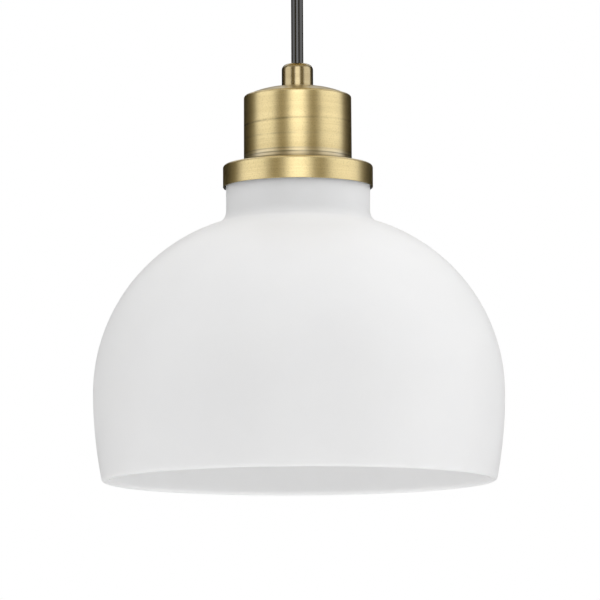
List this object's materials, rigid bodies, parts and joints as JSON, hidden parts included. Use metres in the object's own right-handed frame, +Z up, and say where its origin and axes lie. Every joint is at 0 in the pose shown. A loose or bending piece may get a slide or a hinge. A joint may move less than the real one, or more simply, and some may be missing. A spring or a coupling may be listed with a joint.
{
  "type": "pendant ceiling light",
  "caption": "Pendant ceiling light with a domed opal glass shade on a brass cup, hung by a round black cord from a shallow round brass canopy.",
  "frame": {"origin": "centre of the canopy's rim, in the plane of the ceiling", "axes": "+Z up along the cord's axis, +X along the mounting bar"},
  "size_m": [0.2032, 0.2032, 0.3051],
  "materials": {
    "aged_brass": "aged brass, brushed round the turned pieces, satin lacquer",
    "opal_glass": "opal white glass, satin",
    "frosted_globe": "frosted white",
    "cord_sheath": "black round sheath, satin",
    "black_rubber": "matte",
    "zinc_steel": "zinc plated",
    "nickel": "nickel plated",
    "spring_brass": "bright",
    "phenolic": "moulded, semi-matte",
    "white_plastic": "satin",
    "silicone": "matte translucent white",
    "black_insulation": "satin",
    "white_insulation": "satin",
    "green_plastic": "satin",
    "orange_plastic": "moulded, ribbed"
  },
  "bodies": {
    "canopy": {"canopy_shell": "aged_brass", "mounting_bar": "zinc_steel", "canopy_stud_left": "zinc_steel", "canopy_stud_right": "zinc_steel", "canopy_nut_left": "aged_brass", "canopy_nut_right": "aged_brass", "canopy_grip": "aged_brass", "canopy_grip_nut": "zinc_steel", "earth_screw": "green_plastic", "cord_tail": "cord_sheath", "supply_wire_live": "black_insulation", "supply_wire_neutral": "white_insulation", "supply_wire_earth": "green_plastic", "wire_connector_live": "orange_plastic", "wire_connector_neutral": "orange_plastic"},
    "canopy_bush": {"canopy_bush": "black_rubber"},
    "cord_upper": {"cord_upper": "cord_sheath"},
    "cord_lower": {"cord_lower": "cord_sheath"},
    "relief_bush": {"strain_relief_bush": "black_rubber"},
    "lamp": {"strain_relief": "aged_brass", "threaded_nipple": "zinc_steel", "socket_cup": "aged_brass", "lock_washer": "zinc_steel", "cup_nut": "zinc_steel", "shade_holder": "aged_brass", "socket_cap": "phenolic", "earth_tag": "nickel", "cap_nut": "zinc_steel", "socket_body": "phenolic", "screw_shell": "nickel", "centre_contact": "spring_brass", "terminal_plate_live": "spring_brass", "terminal_plate_neutral": "spring_brass", "terminal_screw_live": "nickel", "terminal_screw_neutral": "nickel", "cord_end": "cord_sheath", "lamp_wire_live": "black_insulation", "lamp_wire_neutral": "white_insulation", "lamp_wire_earth": "green_plastic"},
    "shade": {"shade_gasket": "silicone", "glass_shade": "opal_glass", "clamp_washer": "silicone"},
    "clamp_ring": {"clamp_ring": "phenolic"},
    "bulb_tip": {"bulb_contact": "nickel", "bulb_insulator": "phenolic"},
    "bulb": {"bulb_base": "nickel", "bulb_housing": "white_plastic", "bulb_globe": "frosted_globe"}
  },
  "joints": [
    {"name": "swing_side", "type": "hinge", "parent": "canopy", "child": "canopy_bush", "pos_m": [0, 0, -0.0355], "axis": [0, 1, 0], "range_deg": [-20, 20], "deforming": ["cord_upper"]},
    {"name": "swing_front", "type": "hinge", "parent": "canopy_bush", "child": "cord_upper", "pos_m": [0, 0, -0.0355], "axis": [1, 0, 0], "range_deg": [-20, 20]},
    {"name": "cord_twist", "type": "hinge", "parent": "cord_upper", "child": "cord_lower", "pos_m": [0, 0, -0.067], "axis": [0, 0, 1], "range_deg": [-90, 90]},
    {"name": "lamp_tilt_side", "type": "hinge", "parent": "cord_lower", "child": "relief_bush", "pos_m": [0, 0, -0.0987], "axis": [0, 1, 0], "range_deg": [-12, 12], "deforming": ["cord_lower"]},
    {"name": "lamp_tilt_front", "type": "hinge", "parent": "relief_bush", "child": "lamp", "pos_m": [0, 0, -0.0987], "axis": [1, 0, 0], "range_deg": [-12, 12]},
    {"name": "shade_lower", "type": "slide", "parent": "lamp", "child": "shade", "axis": [0, 0, -1], "range_m": [0, 0.012]},
    {"name": "clamp_ring_turn", "type": "hinge", "parent": "shade", "child": "clamp_ring", "pos_m": [0, 0, -0.157], "axis": [0, 0, -1], "range_deg": [0, 1440]},
    {"name": "bulb_travel", "type": "slide", "parent": "lamp", "child": "bulb_tip", "axis": [0, 0, -1], "range_m": [0, 0.0217]},
    {"name": "bulb_turn", "type": "hinge", "parent": "bulb_tip", "child": "bulb", "pos_m": [0, 0, -0.1552], "axis": [0, 0, -1], "range_deg": [0, 2160]}
  ],
  "couplings": [
    {"joint": "clamp_ring_turn", "follows": "shade_lower", "rad_per_m": 2094.4},
    {"joint": "bulb_turn", "follows": "bulb_travel", "rad_per_m": 1731.4}
  ]
}
